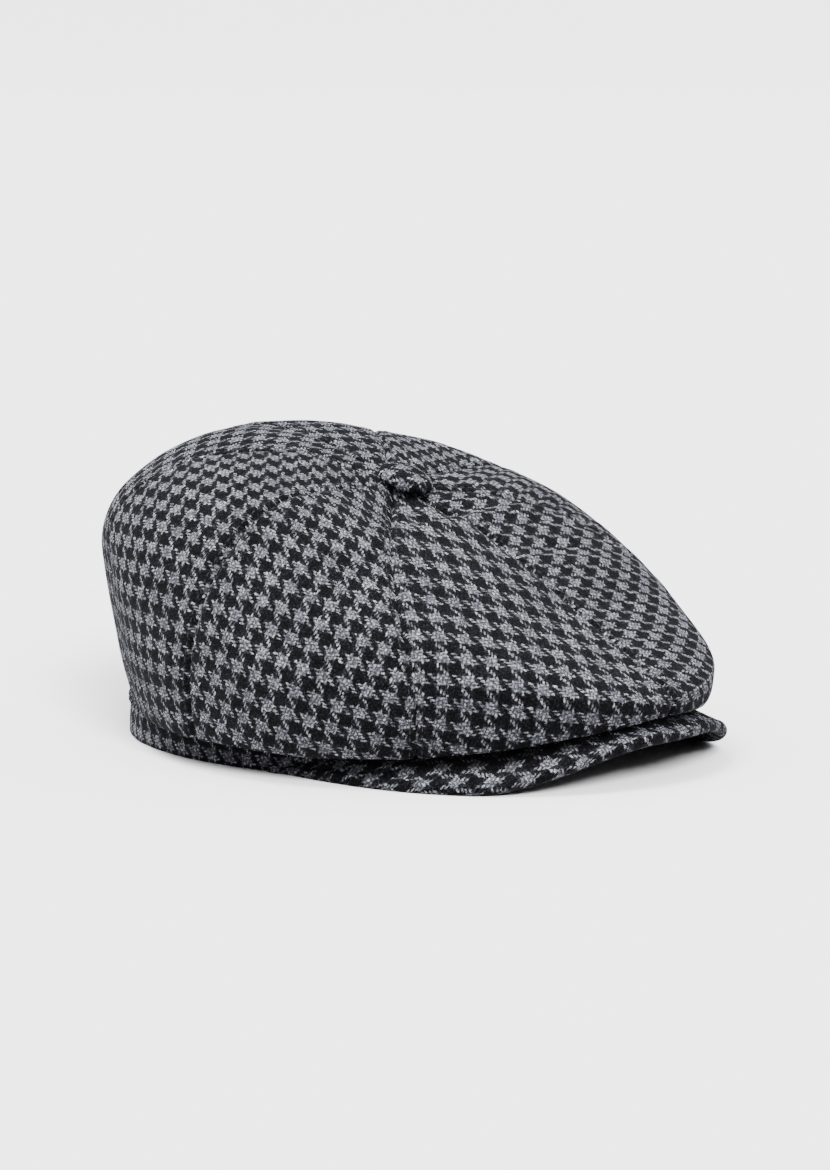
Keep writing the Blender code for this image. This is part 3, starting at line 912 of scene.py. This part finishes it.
def make_cloth(name, shaded=False):
    """Houndstooth in a two-and-two twill: four light and four dark threads each way."""
    n = Nodes(name)
    weave = n.add("ShaderNodeUVMap", uv_map="weave")
    place = n.add("ShaderNodeTexCoord").outputs["Object"]
    split = n.add("ShaderNodeSeparateXYZ")
    n.link(weave.outputs[0], split.inputs[0])
    wander = [n.swing(n.noise(place, scale, 3.0), WANDER) for scale in WANDER_SCALES]
    fuzz = [n.swing(n.noise(place, scale, 3.0, 0.7), FUZZ) for scale in FUZZ_SCALES]
    u, v = (n.math("ADD", split.outputs[k], n.math("ADD", wander[k], fuzz[k])) for k in range(2))
    i = n.math("FLOOR", u)
    j = n.math("FLOOR", v)
    repeat = 2.0 * SHADE_RUN
    warp_light = n.math("LESS_THAN", n.math("FLOORED_MODULO", i, repeat), float(SHADE_RUN))
    weft_light = n.math("LESS_THAN", n.math("FLOORED_MODULO", j, repeat), float(SHADE_RUN))
    step = n.math("FLOORED_MODULO", n.math("SUBTRACT", j, i), TWILL_STEPS)
    warp_top = n.math("LESS_THAN", step, LAST_WARP_STEP)
    light = n.mix(warp_top, weft_light, warp_light)
    part_u = n.math("FRACT", u)
    part_v = n.math("FRACT", v)
    beside = n.math("SUBTRACT", n.mix(warp_top, part_v, part_u), 0.5)
    along_warp = n.math("MULTIPLY", n.math("ADD", step, part_v), 0.5)
    along_weft = n.math("MULTIPLY", n.math("ADD", n.math("SUBTRACT", 3.0, step), part_u), 0.5)
    along = n.mix(warp_top, along_weft, along_warp)
    both_light = n.math("MULTIPLY", warp_light, weft_light)
    swell = n.math("SINE", n.math("MULTIPLY", along, pi), clamp=True)
    fibre_warp = n.noise(n.hairs(u, v, HAIR_SLANTS[0]), 1.0, 3.0, 0.6)
    fibre_weft = n.noise(n.hairs(v, u, HAIR_SLANTS[1]), 1.0, 3.0, 0.6)
    fibre = n.mix(warp_top, fibre_weft, fibre_warp)
    fray = n.swing(fibre, FRAY)
    crossed = n.math("ABSOLUTE", n.math("SUBTRACT", warp_light, weft_light))
    least = n.math("SUBTRACT", HALF_LEAST, n.math("MULTIPLY", crossed, HALF_CROSSED))
    half = n.math("ADD", n.math("ADD", n.math("MULTIPLY", swell, HALF_SWELL), least), fray)
    ratio = n.math("DIVIDE", beside, n.math("MAXIMUM", half, HALF_FLOOR))
    round_up = n.math("SUBTRACT", 1.0, n.math("MULTIPLY", ratio, ratio), clamp=True)
    height = n.math("MULTIPLY", n.math("POWER", round_up, 0.5),
                    n.math("ADD", n.math("MULTIPLY", swell, HEIGHT_SWELL), HEIGHT_LEAST))
    cover = n.math("MULTIPLY", round_up, EDGE_SHARPNESS, clamp=True)
    own = n.random(i, j, n.math("MULTIPLY", warp_top, 7.0))
    speck = n.noise(place, SPECK_SCALE, 2.0, 0.6)
    cloud = n.noise(place, CLOUD_SCALE, 2.0)
    body = n.math("ADD", n.math("MULTIPLY", height, PAINTED_SHADE_HEIGHT), n.swing(fibre, TONE_FIBRE))
    body = n.math("ADD", body, n.swing(own, TONE_THREAD))
    body = n.math("ADD", body, n.swing(speck, TONE_SPECK))
    body = n.math("ADD", body, n.swing(cloud, TONE_CLOUD), clamp=True)
    tone = n.math("POWER", body, TONE_POWER)
    # Painted shade: each yarn's colour falls towards its shadow colour where the tone is low, down the
    # threads' sides, and the gaps between threads take the shadow colour of the yarn beneath
    pale = n.blend(tone, LIGHT_SHADOW, LIGHT_YARN)
    dark = n.blend(tone, DARK_SHADOW, DARK_YARN)
    below = n.blend(both_light, DARK_SHADOW, LIGHT_SHADOW)
    colour = n.blend(cover, below, n.blend(light, dark, pale))
    curl = n.noise(place, CURL_SCALE, 3.0, 0.55)
    line = n.math("ABSOLUTE", n.math("SUBTRACT", curl, 0.5))
    stray = n.math("SUBTRACT", 1.0, n.math("MULTIPLY", line, HAIR_THINNESS), clamp=True)
    stray = n.math("MULTIPLY", stray, n.swing(speck, HAIR_BREAK_GAIN, HAIR_BREAK, clamp=True))
    near_light = n.math("MULTIPLY", n.math("MAXIMUM", warp_light, weft_light), HAIRS_ON_LIGHT)
    near = n.math("ADD", HAIRS_ON_DARK, near_light)
    colour = n.blend(n.math("MULTIPLY", stray, near), colour, STRAY_HAIR)
    # Painted shade on the peak: the colour is darkened towards black by the mesh's light attribute, at
    # the part the crown overhangs
    if shaded:
        painted_light_left = n.add("ShaderNodeAttribute", attribute_name="light").outputs["Fac"]
        colour = n.blend(painted_light_left, BLACK, colour)
    n.link(colour, n.shader.inputs["Base Color"])
    n.surface(Roughness=0.95, Specular_IOR_Level=0.05)
    n.surface(Sheen_Weight=0.015, Sheen_Roughness=0.6, Sheen_Tint=SHEEN_TINT)
    bump = n.add("ShaderNodeBump")
    bump.inputs["Strength"].default_value = BUMP_STRENGTH
    bump.inputs["Distance"].default_value = BUMP_DISTANCE
    raised = n.math("ADD", height, n.math("MULTIPLY", fibre, BUMP_FIBRE))
    n.link(raised, bump.inputs["Height"])
    n.link(bump.outputs[0], n.shader.inputs["Normal"])
    return n.material


def make_thread(name):
    """Dark sewing thread."""
    n = Nodes(name)
    place = n.add("ShaderNodeTexCoord").outputs["Object"]
    ply = n.noise(place, SEWING_PLY_SCALE, 2.0)
    n.link(n.blend(ply, SEWING_DARK, SEWING_LIGHT), n.shader.inputs["Base Color"])
    n.surface(Roughness=0.7)
    return n.material


def make_floor():
    """A wide pale floor that sweeps up into a low backdrop all round."""
    sides = FLOOR_SIDES
    turns = np.linspace(0.0, 2.0 * pi, sides + 1)[:-1]
    section = [(reach, 0.0) for reach in FLOOR_RINGS]
    for k in range(1, SWEEP_STEPS + 1):
        angle = pi / 2.0 * k / SWEEP_STEPS
        section.append((FLOOR_RINGS[-1] + FLOOR_SWEEP * sin(angle), FLOOR_SWEEP * (1.0 - cos(angle))))
    points = [(reach * cos(a), reach * sin(a), up) for reach, up in section for a in turns]
    faces = [tuple(range(sides))]
    for ring in range(len(section) - 1):
        for k in range(sides):
            a, b = ring * sides + k, ring * sides + (k + 1) % sides
            faces.append((a, a + sides, b + sides, b))
    mesh = bpy.data.meshes.new("floor")
    mesh.from_pydata(points, [], faces)
    mesh.shade_smooth()
    mesh.materials.append(make_floor_paint())
    floor = place_object("floor", mesh)
    floor.visible_diffuse = False
    floor.visible_shadow = False
    return floor


def make_floor_paint():
    """Pale paint that gives off what the floor's own lamp leaves out as the sweep turns up."""
    n = Nodes("floor_paint")
    place = n.add("ShaderNodeTexCoord").outputs["Object"]
    grain = n.noise(place, FLOOR_GRAIN_SCALE, 2.0)
    paint = n.blend(grain, FLOOR_DARK, FLOOR_PALE)
    n.surface(Roughness=0.9, Specular_IOR_Level=0.0, Emission_Color=WHITE)
    split = n.add("ShaderNodeSeparateXYZ")
    normal = n.add("ShaderNodeNewGeometry").outputs["Normal"]
    n.link(normal, split.inputs[0])
    steep = n.math("SUBTRACT", 1.0, split.outputs[2], clamp=True)
    towards = -Vector(FLOOR_WAY).normalized()
    facing = n.add("ShaderNodeVectorMath", operation="DOT_PRODUCT")
    n.link(normal, facing.inputs[0])
    facing.inputs[1].default_value = towards
    lit = n.math("MAXIMUM", facing.outputs["Value"], 0.0)
    thin = n.math("DIVIDE", towards.z, n.math("MAXIMUM", lit, towards.z))
    lack = n.math("MAXIMUM", n.math("SUBTRACT", towards.z, lit), 0.0)
    swept = n.math("MULTIPLY", steep, SWEEP_GLOW)
    missed = n.math("MULTIPLY", lack, FLOOR_LIGHT * FLOOR_PAINT / pi)
    glow = n.math("ADD", swept, missed)
    glow = n.math("ADD", glow, n.math("MULTIPLY", n.math("SUBTRACT", 1.0, thin), SWEEP_FILL))
    n.link(n.blend(thin, BLACK, paint), n.shader.inputs["Base Color"])
    n.link(glow, n.shader.inputs["Emission Strength"])
    return n.material


def make_thrower():
    """A disc just under the floor, which throws light back up and is not seen itself."""
    turns = np.linspace(0.0, 2.0 * pi, FLOOR_SIDES + 1)[:-1]
    reach = FLOOR_RINGS[0]
    points = [(reach * cos(a), reach * sin(a), -THROW_UNDER) for a in turns]
    under = bpy.data.meshes.new("floor_throw")
    under.from_pydata(points, [], [tuple(range(FLOOR_SIDES))])
    thrower = place_object("floor_throw", under)
    n = Nodes("floor_throw_paint")
    n.surface(Base_Color=FLOOR_THROW, Roughness=0.9, Specular_IOR_Level=0.0)
    under.materials.append(n.material)
    thrower.visible_camera = False


def make_lamp(name, energy, spread, way):
    """A distant lamp that shines along a way, as wide as its spread in degrees."""
    sun = bpy.data.lights.new(name, "SUN")
    sun.energy = energy
    sun.angle = radians(spread)
    lamp = place_object(name, sun)
    lamp.rotation_euler = Vector(way).to_track_quat("-Z", "Y").to_euler()
    return lamp


def make_light(floor):
    """Even light from above that fades towards the sides, the key, and the floor's own lamp."""
    world = bpy.data.worlds.new("studio")
    world.use_nodes = True
    tree = world.node_tree
    back = tree.nodes["Background"]
    place = tree.nodes.new("ShaderNodeTexCoord")
    split = tree.nodes.new("ShaderNodeSeparateXYZ")
    tree.links.new(place.outputs["Generated"], split.inputs[0])
    rise = tree.nodes.new("ShaderNodeMapRange")
    rise.interpolation_type = "SMOOTHSTEP"
    rise.inputs["From Min"].default_value = LIGHT_RISE[0]
    rise.inputs["From Max"].default_value = LIGHT_RISE[1]
    rise.inputs["To Min"].default_value = LIGHT_LEVEL
    rise.inputs["To Max"].default_value = LIGHT_ABOVE
    tree.links.new(split.outputs[2], rise.inputs["Value"])
    tree.links.new(rise.outputs[0], back.inputs["Strength"])
    back.inputs["Color"].default_value = LIGHT_TINT
    bpy.context.scene.world = world
    make_lamp("key", KEY_LIGHT, KEY_SPREAD, KEY_WAY)
    floor_lamp = make_lamp("floor_lamp", FLOOR_LIGHT, FLOOR_SPREAD, FLOOR_WAY)
    lit = bpy.data.collections.new("lit_floor")
    lit.objects.link(floor)
    floor_lamp.light_linking.receiver_collection = lit


def make_camera():
    """The camera at the photo's angle."""
    turn, rise = radians(CAMERA_TURN), radians(CAMERA_RISE)
    back = Vector((sin(turn) * cos(rise), -cos(turn) * cos(rise), sin(rise)))
    right = Vector((cos(turn), sin(turn), 0.0))
    up = back.cross(right)
    data = bpy.data.cameras.new("camera")
    data.lens = CAMERA_LENS
    data.sensor_width = CAMERA_FILM
    data.clip_start = CAMERA_NEAR
    data.clip_end = CAMERA_FAR
    camera = place_object("camera", data)
    aim = Vector((0.0, HEAD_BACK, CAMERA_AIM_UP)) + right * CAMERA_RIGHT + up * CAMERA_UP
    camera.location = aim + back * CAMERA_REACH
    camera.rotation_euler = (-back).to_track_quat("-Z", "Y").to_euler()
    bpy.context.scene.camera = camera


crown_cloth = make_cloth("crown_houndstooth_cloth")
band_cloth = make_cloth("band_houndstooth_cloth")
peak_cloth = make_cloth("peak_houndstooth_cloth", shaded=True)
button_cloth = make_cloth("button_houndstooth_cloth")
for number in range(len(PANELS)):
    make_panel(number, crown_cloth)
make_band(band_cloth)
make_peak(peak_cloth)
make_button(button_cloth)
make_stitches(make_thread("sewing_thread"))
floor = make_floor()
make_thrower()
make_light(floor)
make_camera()
